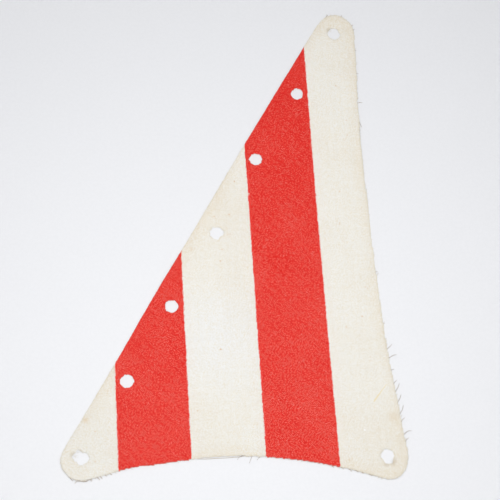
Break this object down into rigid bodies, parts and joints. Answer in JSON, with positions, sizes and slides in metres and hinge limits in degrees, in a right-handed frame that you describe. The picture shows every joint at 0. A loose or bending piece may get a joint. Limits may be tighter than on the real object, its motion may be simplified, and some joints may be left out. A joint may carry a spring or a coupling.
{
  "type": "toy ship sail",
  "caption": "Flat triangular cloth sail for a toy ship, with red printed stripes, rounded tips and eyelet holes along its luff and at its corners.",
  "frame": {"origin": "on the surface the cloth lies on, under the middle of its box", "axes": "+Y along the stripes towards the head, +X across them towards the clew, +Z out of the front face"},
  "size_m": [0.1207, 0.1842, 0.0004],
  "materials": {
    "cloth": "plain-weave cotton, starched, unbleached cream, aged a little yellow at its cut edges",
    "red_print": "matte red textile ink soaked into the face yarns, slightly mottled"
  },
  "bodies": {
    "root": {"sail_cloth": "cloth", "luff_stripe_print_front": "red_print", "main_stripe_print_front": "red_print", "luff_stripe_print_back": "red_print", "main_stripe_print_back": "red_print"}
  },
  "joints": []
}
